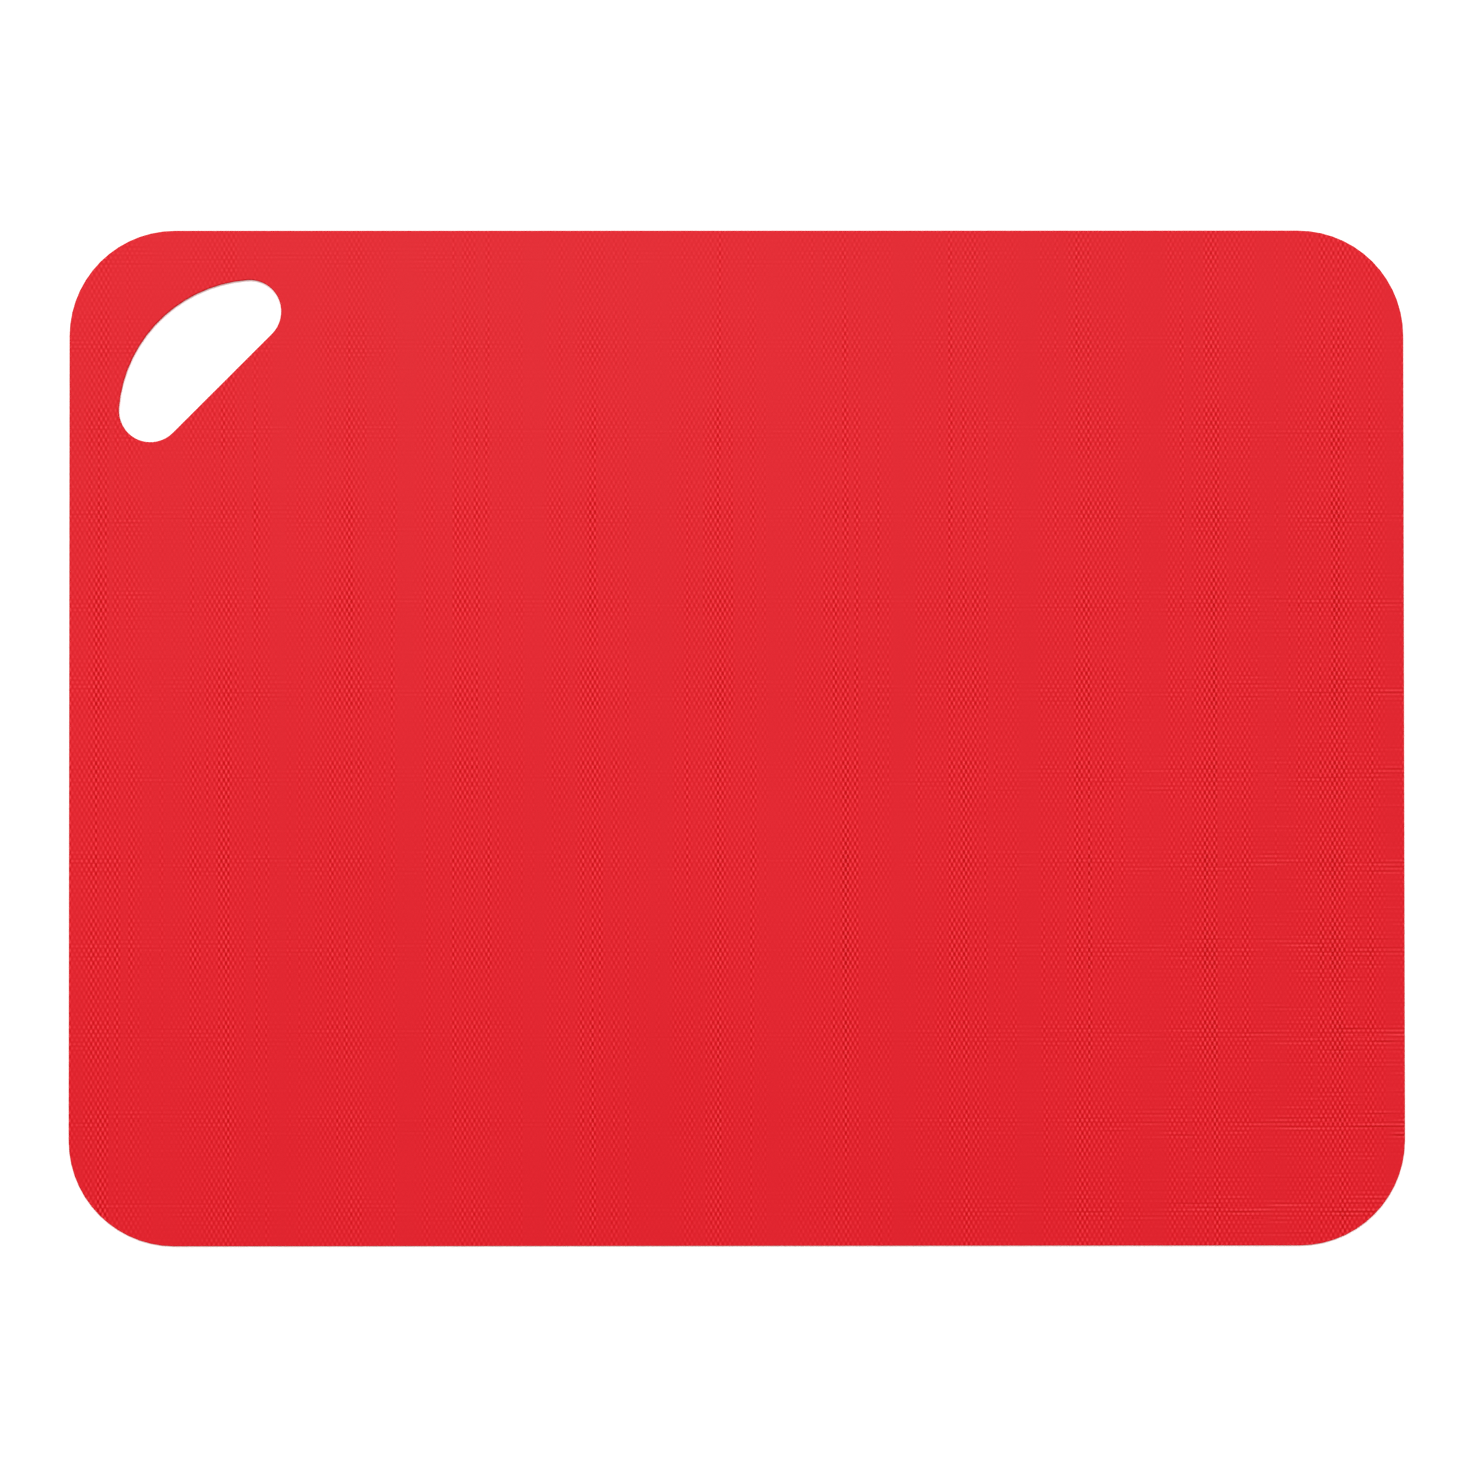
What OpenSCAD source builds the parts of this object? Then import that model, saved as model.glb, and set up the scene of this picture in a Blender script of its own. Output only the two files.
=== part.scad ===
// Flexible cutting mat: one die-cut plastic sheet with a finger hole in a corner.
// All sizes are in millimetres. The mat lies flat with its underside on z = 0
// and its middle at the origin. Its length runs along X, and the finger hole
// is in the corner at -X, +Y.

/* [Sheet] */
// Length of the mat, along X
mat_length = 380; // [280:5:460]
// Width of the mat, along Y
mat_width = 289; // [200:1:340]
// Thickness of the sheet
mat_thickness = 1.2; // [0.8:0.1:3]
// Radius of the four corners, seen from above
corner_radius = 30; // [10:1:60]
// Rounding of the upper and lower edges, round the mat and round the hole
edge_radius = 0.3; // [0.1:0.05:0.35]

/* [Finger hole] */
// Length of the hole, from round end to round end
hole_length = 57.9; // [46:0.1:70]
// Width of the hole, from its straight edge to the top of its bow
hole_width = 25.35; // [21:0.05:29]
// Radius of the two round ends
hole_end_radius = 9; // [6:0.5:10]
// Distance from the middle of the straight edge to the two nearest sides of the mat
hole_inset = 43.5; // [36:0.5:60]

/* [Hidden] */
$fn = 180;
mat_colour = [0.894, 0.165, 0.196];

// How far a cutting shape runs past the face that it cuts
overrun = 1;

// From the middle of the mat to the centres of its corner arcs
corner_x = mat_length / 2 - corner_radius;
corner_y = mat_width / 2 - corner_radius;

// The hole lies square to the corner's diagonal, with its bow towards the corner
hole_turn = 45;

// From the middle of the hole to the centre of each round end
end_offset = hole_length / 2 - hole_end_radius;

// The bow is the one arc that runs on smoothly from both round ends
// and just reaches the hole's width
bow_rise = hole_width - 2 * hole_end_radius;
bow_radius = (pow(end_offset, 2) + pow(bow_rise + hole_end_radius, 2) - pow(hole_end_radius, 2))
    / (2 * bow_rise);
bow_centre = [0, hole_width - bow_radius];

// The bow meets a round end on the line from its own centre through the end's centre
to_end = [end_offset, hole_end_radius] - bow_centre;

// The mat from above, without its hole
module sheet_outline() {
    for (x = [-corner_x, corner_x], y = [-corner_y, corner_y])
        translate([x, y])
            circle(r = corner_radius);
    square([mat_length, 2 * corner_y], center = true);
    square([2 * corner_x, mat_width], center = true);
}

// The wedge between the two lines on which the bow meets the round ends
module bow_wedge() {
    far = 2 * to_end;
    polygon([bow_centre, bow_centre + far, bow_centre + [-far.x, far.y]]);
}

// The hole from above. The middle of its straight edge is at the origin,
// and its bow is on the +Y side
module hole_outline() {
    for (side = [-1, 1])
        translate([side * end_offset, hole_end_radius])
            circle(r = hole_end_radius);
    translate([-end_offset, 0])
        square([2 * end_offset, hole_end_radius]);
    intersection() {
        translate(bow_centre)
            circle(r = bow_radius);
        bow_wedge();
        translate([-hole_length / 2, 0])
            square([hole_length, hole_width + overrun]);
    }
}

// What the rounding takes off the sheet's two edges, as a section.
// The sheet's side is at x = 0, with the sheet behind it at x < 0
module rounding_section() {
    for (upper = [0, 1])
        translate([0, upper * mat_thickness])
            mirror([0, upper])
                difference() {
                    translate([-edge_radius, -overrun])
                        square([edge_radius + overrun, edge_radius + overrun]);
                    translate([-edge_radius, edge_radius])
                        circle(r = edge_radius);
                }
}

// Runs a section round the mat, with the section's +x pointing outwards
module round_the_sheet() {
    for (end = [0, 1])
        mirror([end, 0, 0]) {
            translate([mat_length / 2, corner_y, 0])
                rotate([90, 0, 0])
                    linear_extrude(height = 2 * corner_y)
                        children();
            for (side = [0, 1])
                mirror([0, side, 0])
                    translate([corner_x, corner_y, 0])
                        rotate_extrude(angle = 90)
                            translate([corner_radius, 0])
                                children();
        }
    for (side = [0, 1])
        mirror([0, side, 0])
            translate([-corner_x, mat_width / 2, 0])
                rotate([90, 0, 90])
                    linear_extrude(height = 2 * corner_x)
                        children();
}

// Runs a section round a circle, with the section's +x pointing to the centre
module round_a_circle(radius) {
    rotate_extrude()
        translate([radius, 0])
            mirror([1, 0])
                children();
}

// Runs a section round the hole, with the section's +x pointing into the hole.
// The round ends turn full circle, because they lie inside the bow
module round_the_hole() {
    translate([-end_offset, 0, 0])
        rotate([90, 0, 90])
            linear_extrude(height = 2 * end_offset)
                children();
    for (side = [-1, 1])
        translate([side * end_offset, hole_end_radius, 0])
            round_a_circle(hole_end_radius)
                children();
    intersection() {
        translate(bow_centre)
            round_a_circle(bow_radius)
                children();
        translate([0, 0, -2 * overrun])
            linear_extrude(height = mat_thickness + 4 * overrun)
                bow_wedge();
    }
}

// Moves the hole from its own frame to its corner of the mat
module at_hole() {
    translate([hole_inset - mat_length / 2, mat_width / 2 - hole_inset, 0])
        rotate([0, 0, hole_turn])
            children();
}

// The whole mat
module mat() {
    color(mat_colour)
        difference() {
            linear_extrude(height = mat_thickness)
                difference() {
                    sheet_outline();
                    at_hole()
                        hole_outline();
                }
            round_the_sheet()
                rounding_section();
            at_hole()
                round_the_hole()
                    rounding_section();
        }
}

mat();
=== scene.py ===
"""A flexible red cutting mat lying on a pale surface, seen from straight above."""

import math

import bpy
from mathutils import Euler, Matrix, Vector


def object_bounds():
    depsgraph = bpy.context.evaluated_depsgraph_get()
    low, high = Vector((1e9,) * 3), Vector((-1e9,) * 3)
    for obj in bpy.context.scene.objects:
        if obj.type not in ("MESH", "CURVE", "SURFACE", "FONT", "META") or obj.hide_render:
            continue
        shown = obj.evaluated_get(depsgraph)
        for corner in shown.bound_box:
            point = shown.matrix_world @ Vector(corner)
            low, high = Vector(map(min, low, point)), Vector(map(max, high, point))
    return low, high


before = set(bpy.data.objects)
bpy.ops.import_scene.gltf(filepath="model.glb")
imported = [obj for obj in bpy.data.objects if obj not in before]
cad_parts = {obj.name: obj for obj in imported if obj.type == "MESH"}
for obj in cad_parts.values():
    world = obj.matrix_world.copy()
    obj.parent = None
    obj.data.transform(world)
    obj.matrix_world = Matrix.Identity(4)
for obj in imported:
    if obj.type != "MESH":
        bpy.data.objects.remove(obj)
cad_low, cad_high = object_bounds()

# The emboss: rows of small pips, each row shifted by half a pitch against the next.
# All lengths are in metres
PIP_PITCH = 0.001345
PIP_ROW_PITCH = 0.00121
PIP_HEIGHT = 0.00005

# The embossing roll leaves the pips deeper in soft bands: (pitch, place of one peak, strength)
BANDS_ALONG_X = (
    (0.0352, -0.0054, 0.53),
    (0.0117, -0.0054, 0.19),
    (0.0093, 0.0042, 0.17),
    (0.0044, -0.0005, 0.11),
    (0.0033, 0.0015, 0.12),
    (0.0030, 0.0012, 0.10),
)
BANDS_ALONG_Y = (
    (0.0248, -0.0114, 0.15),
    (0.0091, 0.0009, 0.07),
    (0.0044, 0.0009, 0.06),
)

# How much the deep bands gain on the shallow ones
BAND_POWER = 1.45

# Columns of pips that came out uneven: (width, length, strength)
COLUMN_STREAKS = (0.0015, 0.100, 2.0)

# How hard the roll pressed: (gain from the middle to the + end, gain at both ends)
PRESS_ALONG_X = (0.24, 0.22)
PRESS_ALONG_Y = (-0.16, -0.62)

# Rows of pips that run together into lines: (length, width of a bundle, unevenness)
MERGED_ROWS = (0.016, 0.0020, 6.0)

# The lines gather in groups: (pitch, place of one group, how closely, strength)
LINE_GROUPS = (
    (0.02457, -0.0112, 6, 0.68),
    (0.00819, -0.0112, 3, 0.32),
)

# How strong they are between the groups, and how the groups wander up and down:
# (length, width, how far)
LINES_BETWEEN = 0.06
LINE_WANDER = (0.014, 0.004, 0.014)

# How strong they are in the middle of the mat, and what both ends, the end at +X, and
# the corner of that end at -Y add
LINES_MIDDLE = 0.11
LINES_ENDS = 0.22
LINES_RIGHT = 0.48
LINES_CORNER = 0.85

# The sheet never lies quite flat
WAVE_LENGTH = 0.07
WAVE_HEIGHT = 0.00012

# The plastic's colour where it is smooth and where the pips are deepest, and how deep
# those are against the mean
MAT_RED = (0.735, 0.0115, 0.0220, 1)
MAT_RED_PRESSED = (0.751, 0.0055, 0.0162, 1)
DEEPEST_PIPS = 3.0

# Painted shade in the hollows between the pips and painted highlights on their tops: the colours
# between the pips and on them, and how far a pip of mean height goes to them
PAINTED_SHADE_RED = (0.565, 0.0002, 0.0008, 1)
PAINTED_HIGHLIGHT_RED = (0.965, 0.046, 0.066, 1)
PAINTED_LIGHT_SWING = 0.182

# The rounded and cut edges, and how upright their surface and that of the faces is
RIM_RED = (0.70, 0.004, 0.011, 1)
RIM_UPRIGHT = 0.90
FACE_UPRIGHT = 0.99

FACE_ROUGHNESS = 0.46
RIM_ROUGHNESS = 0.38
PIP_GLOSS = 0.03
SPECULAR_LEVEL = 0.09

# Faint clouds of colour and roughness all over
CLOUD_SIZE = 0.08
CLOUD_STRENGTH = 0.10

# Where the photograph was taken from, in metres and degrees
CAMERA_PLACE = (-0.0025, -0.0083, 0.9894)
CAMERA_TURN = (0.516, -0.114, -0.030)
CAMERA_LENS = 85

FLOOR_SIZE = 12.0
FLOOR_GAP = 0.0001
FLOOR_ALBEDO = (0.88, 0.88, 0.88, 1)
FLOOR_LIFT = 0.36
WORLD_LIGHT = 0.30

# A soft box near the mat: its place, the length of its sides, and its power in watts
SOFTBOX = ((-0.25, 0.62, 2.0), 0.6, 12.2)

# Large lights far away: the side that each stands on, and its strength. They look that
# many degrees wide
FAR_LIGHTS = {
    "left_light": ((-0.39, 0.39, 1.0), 0.77),
    "right_light": ((0.39, 0.39, 1.0), 0.875),
}
FAR_LIGHT_SPREAD = 20


def new_material(name):
    """An empty node material, with its tree."""
    material = bpy.data.materials.new(name)
    material.use_nodes = True
    material.node_tree.nodes.clear()
    return material, material.node_tree


def node(tree, kind, **settings):
    """A new node of that kind, with its properties set."""
    made = tree.nodes.new(kind)
    for key, value in settings.items():
        setattr(made, key, value)
    return made


def wire(tree, into, source):
    """Links a source socket into an input, or sets the input to a plain value."""
    if isinstance(source, bpy.types.NodeSocket):
        tree.links.new(source, into)
    else:
        into.default_value = source


def maths(tree, operation, *values, clamp=False):
    """One step of arithmetic on sockets or numbers."""
    step = node(tree, "ShaderNodeMath", operation=operation, use_clamp=clamp)
    for into, value in zip(step.inputs, values):
        wire(tree, into, value)
    return step.outputs[0]


def wave(tree, along, pitch, peak=0.0):
    """A cosine wave of that pitch along a coordinate, with one peak at that place."""
    turn = 2 * math.pi / pitch
    return maths(tree, "COSINE", maths(tree, "MULTIPLY_ADD", along, turn, -peak * turn))


def noise(tree, place, sizes, detail=1.0):
    """Smooth noise from -0.5 to 0.5, whose grains have those sizes along X, Y and Z."""
    stretch = node(tree, "ShaderNodeMapping")
    stretch.inputs["Scale"].default_value = [1 / size for size in sizes]
    wire(tree, stretch.inputs["Vector"], place)
    grains = node(tree, "ShaderNodeTexNoise")
    grains.inputs["Scale"].default_value = 1
    grains.inputs["Detail"].default_value = detail
    wire(tree, grains.inputs["Vector"], stretch.outputs["Vector"])
    return maths(tree, "SUBTRACT", grains.outputs["Fac"], 0.5)


def mix_colours(tree, share, first, second):
    """Between two colours, by a share from 0 to 1."""
    mixer = node(tree, "ShaderNodeMix", data_type="RGBA")
    wire(tree, mixer.inputs["Factor"], share)
    wire(tree, mixer.inputs["A"], first)
    wire(tree, mixer.inputs["B"], second)
    return mixer.outputs["Result"]


def bump(tree, height, distance, below=None):
    """A normal bent by a height map, on top of another bump if one is given."""
    made = node(tree, "ShaderNodeBump")
    made.inputs["Distance"].default_value = distance
    wire(tree, made.inputs["Height"], height)
    if below is not None:
        wire(tree, made.inputs["Normal"], below)
    return made.outputs["Normal"]


def flat_share(tree, coordinates):
    """1 on the two flat faces of the sheet, and 0 on its rounded and cut edges."""
    split = node(tree, "ShaderNodeSeparateXYZ")
    wire(tree, split.inputs[0], coordinates.outputs["Normal"])
    upright = maths(tree, "ABSOLUTE", split.outputs["Z"])
    ramp = node(tree, "ShaderNodeMapRange", interpolation_type="SMOOTHSTEP")
    wire(tree, ramp.inputs["Value"], upright)
    ramp.inputs["From Min"].default_value = RIM_UPRIGHT
    ramp.inputs["From Max"].default_value = FACE_UPRIGHT
    return ramp.outputs["Result"]


def banded(tree, along, bands):
    """About 1, rising and falling along a coordinate in a few waves at once."""
    level = 1.0
    for pitch, peak, strength in bands:
        level = maths(tree, "MULTIPLY_ADD", wave(tree, along, pitch, peak), strength, level)
    return maths(tree, "MAXIMUM", level, 0)


def band_depth(tree, place, x, y):
    """How deep the bands and uneven columns leave the pips, against their mean depth."""
    wide, long, strength = COLUMN_STREAKS
    streak = maths(tree, "MULTIPLY_ADD", noise(tree, place, (wide, long, 1)), strength, 1)
    depth = maths(tree, "MULTIPLY", banded(tree, x, BANDS_ALONG_X), banded(tree, y, BANDS_ALONG_Y))
    depth = maths(tree, "MULTIPLY", depth, maths(tree, "MAXIMUM", streak, 0))
    return maths(tree, "POWER", depth, BAND_POWER)


def roll_press(tree, across, up):
    """How hard the roll pressed, against its mean, at shares of the half length and half width."""
    mean_square = 1 / 3
    press = 1 - (PRESS_ALONG_X[1] + PRESS_ALONG_Y[1]) * mean_square
    for along, (slope, ends) in ((across, PRESS_ALONG_X), (up, PRESS_ALONG_Y)):
        rise = maths(tree, "MULTIPLY_ADD", along, ends, slope)
        press = maths(tree, "MULTIPLY_ADD", rise, along, press)
    return press


def line_groups(tree, place, y):
    """How far a place belongs to the groups that the merged rows gather in."""
    length, width, reach = LINE_WANDER
    along = maths(tree, "MULTIPLY_ADD", noise(tree, place, (length, width, 1)), reach, y)
    near = LINES_BETWEEN
    for pitch, peak, closeness, strength in LINE_GROUPS:
        close = maths(tree, "MULTIPLY_ADD", wave(tree, along, pitch, peak), 0.5, 0.5)
        close = maths(tree, "POWER", close, closeness)
        near = maths(tree, "MULTIPLY_ADD", close, strength, near)
    return near


def line_strength(tree, across, up):
    """How strong the merged rows are, at shares of the half length and half width."""
    ends = maths(tree, "MULTIPLY", across, across)
    right = maths(tree, "POWER", maths(tree, "MAXIMUM", across, 0), 2)
    strength = maths(tree, "MULTIPLY_ADD", up, -LINES_CORNER, LINES_RIGHT)
    strength = maths(tree, "MULTIPLY_ADD", strength, right, LINES_MIDDLE)
    return maths(tree, "MULTIPLY_ADD", ends, LINES_ENDS, strength)


def merged_rows(tree, place, y, across, up):
    """Rows of pips that run together into lines, as heights against a pip's."""
    length, width, unevenness = MERGED_ROWS
    bundles = maths(tree, "MULTIPLY_ADD", noise(tree, place, (length, width, 1)), unevenness, 1)
    lines = maths(tree, "MULTIPLY", bundles, wave(tree, y, PIP_ROW_PITCH))
    lines = maths(tree, "MULTIPLY", lines, line_groups(tree, place, y))
    return maths(tree, "MULTIPLY", lines, line_strength(tree, across, up))


def embossed_plastic():
    """Semi-matt red plastic with the fine emboss of the mat's two faces, with painted shade
    between the pips and painted highlights on them.
    """
    material, tree = new_material("embossed_plastic")
    coordinates = node(tree, "ShaderNodeTexCoord")
    place = coordinates.outputs["Object"]
    split = node(tree, "ShaderNodeSeparateXYZ")
    wire(tree, split.inputs[0], place)
    x, y = split.outputs["X"], split.outputs["Y"]
    flat = flat_share(tree, coordinates)

    across = maths(tree, "MULTIPLY", x, 1 / cad_high.x)
    up = maths(tree, "MULTIPLY", y, 1 / cad_high.y)
    pips = maths(tree, "MULTIPLY", wave(tree, x, PIP_PITCH), wave(tree, y, 2 * PIP_ROW_PITCH))
    depth = maths(tree, "MULTIPLY", band_depth(tree, place, x, y), roll_press(tree, across, up))
    relief = maths(tree, "MULTIPLY_ADD", pips, depth, merged_rows(tree, place, y, across, up))
    relief = maths(tree, "MULTIPLY", relief, flat)

    cloud = noise(tree, place, (CLOUD_SIZE, CLOUD_SIZE, 1), detail=2)
    # Painted shade in the hollows between the pips and painted highlights on their tops, set by
    # the pips' height, with faint clouds of tone on top
    share = maths(tree, "MULTIPLY_ADD", relief, PAINTED_LIGHT_SWING, 0.5)
    share = maths(tree, "MULTIPLY_ADD", cloud, CLOUD_STRENGTH, share, clamp=True)
    pressed = maths(tree, "MULTIPLY", depth, 1 / DEEPEST_PIPS, clamp=True)
    middle = mix_colours(tree, pressed, MAT_RED, MAT_RED_PRESSED)
    low = mix_colours(tree, maths(tree, "MULTIPLY", share, 2, clamp=True), PAINTED_SHADE_RED, middle)
    highlight_share = maths(tree, "MULTIPLY_ADD", share, 2, -1, clamp=True)
    face_colour = mix_colours(tree, highlight_share, low, PAINTED_HIGHLIGHT_RED)

    waves = bump(tree, noise(tree, place, (WAVE_LENGTH, WAVE_LENGTH, 1)), WAVE_HEIGHT)
    rough = maths(tree, "MULTIPLY_ADD", flat, FACE_ROUGHNESS - RIM_ROUGHNESS, RIM_ROUGHNESS)
    rough = maths(tree, "MULTIPLY_ADD", cloud, CLOUD_STRENGTH, rough)
    rough = maths(tree, "MULTIPLY_ADD", relief, -PIP_GLOSS, rough)

    shader = node(tree, "ShaderNodeBsdfPrincipled")
    wire(tree, shader.inputs["Base Color"], mix_colours(tree, flat, RIM_RED, face_colour))
    wire(tree, shader.inputs["Roughness"], rough)
    shader.inputs["Specular IOR Level"].default_value = SPECULAR_LEVEL
    wire(tree, shader.inputs["Normal"], bump(tree, relief, PIP_HEIGHT / 2, waves))
    output = node(tree, "ShaderNodeOutputMaterial")
    wire(tree, output.inputs["Surface"], shader.outputs[0])
    return material


def seen_directly(tree):
    """1 for what the camera sees straight, in a reflection or through glass, and 0 for light."""
    path = node(tree, "ShaderNodeLightPath")
    seen = maths(tree, "ADD", path.outputs["Is Camera Ray"], path.outputs["Is Glossy Ray"])
    return maths(tree, "ADD", seen, path.outputs["Is Transmission Ray"], clamp=True)


def pale_floor_material():
    """A pale floor that shows as white, and keeps the shadow of what lies on it."""
    material, tree = new_material("pale_floor")
    diffuse = node(tree, "ShaderNodeBsdfDiffuse")
    diffuse.inputs["Color"].default_value = FLOOR_ALBEDO
    lift = node(tree, "ShaderNodeEmission")
    wire(tree, lift.inputs["Strength"], maths(tree, "MULTIPLY", seen_directly(tree), FLOOR_LIFT))
    both = node(tree, "ShaderNodeAddShader")
    wire(tree, both.inputs[0], diffuse.outputs[0])
    wire(tree, both.inputs[1], lift.outputs[0])
    output = node(tree, "ShaderNodeOutputMaterial")
    wire(tree, output.inputs["Surface"], both.outputs[0])
    return material


def make_floor():
    """The surface that the mat lies on."""
    bpy.ops.mesh.primitive_plane_add(size=FLOOR_SIZE, location=(0, 0, cad_low.z - FLOOR_GAP))
    floor = bpy.context.object
    floor.name = "floor"
    floor.data.materials.append(pale_floor_material())


def make_world():
    """Even light from all round, with a white background behind the floor."""
    world = bpy.data.worlds.new("studio")
    bpy.context.scene.world = world
    world.use_nodes = True
    tree = world.node_tree
    tree.nodes.clear()
    back = node(tree, "ShaderNodeBackground")
    back.inputs["Color"].default_value = (1, 1, 1, 1)
    shown = maths(tree, "MULTIPLY_ADD", seen_directly(tree), 1 - WORLD_LIGHT, WORLD_LIGHT)
    wire(tree, back.inputs["Strength"], shown)
    output = node(tree, "ShaderNodeOutputWorld")
    wire(tree, output.inputs["Surface"], back.outputs[0])


def add_lamp(light, place):
    """Puts a light at a place, pointing at the middle of the mat."""
    lamp = bpy.data.objects.new(light.name, light)
    lamp.location = place
    lamp.rotation_euler = (-lamp.location).to_track_quat("-Z", "Y").to_euler()
    bpy.context.scene.collection.objects.link(lamp)


def make_softbox():
    """A square soft box over the far side of the mat."""
    place, size, power = SOFTBOX
    light = bpy.data.lights.new("softbox", "AREA")
    light.shape = "SQUARE"
    light.size = size
    light.energy = power
    add_lamp(light, place)


def make_far_lights():
    """Two large lights, so far away that they light the floor alike all over."""
    for name, (place, strength) in FAR_LIGHTS.items():
        light = bpy.data.lights.new(name, "SUN")
        light.energy = strength
        light.angle = math.radians(FAR_LIGHT_SPREAD)
        add_lamp(light, place)


def make_camera():
    """The photograph's view: straight down, from about a metre up."""
    camera = bpy.data.objects.new("camera", bpy.data.cameras.new("camera"))
    camera.data.lens = CAMERA_LENS
    camera.location = CAMERA_PLACE
    camera.rotation_euler = Euler([math.radians(turn) for turn in CAMERA_TURN])
    bpy.context.scene.collection.objects.link(camera)
    bpy.context.scene.camera = camera


def dress_mat():
    """Gives the mat its embossed plastic."""
    plastic = embossed_plastic()
    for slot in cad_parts["mat"].material_slots:
        slot.material = plastic


make_camera()
make_world()
make_softbox()
make_far_lights()
make_floor()
dress_mat()

bpy.context.scene.view_settings.view_transform = "Standard"
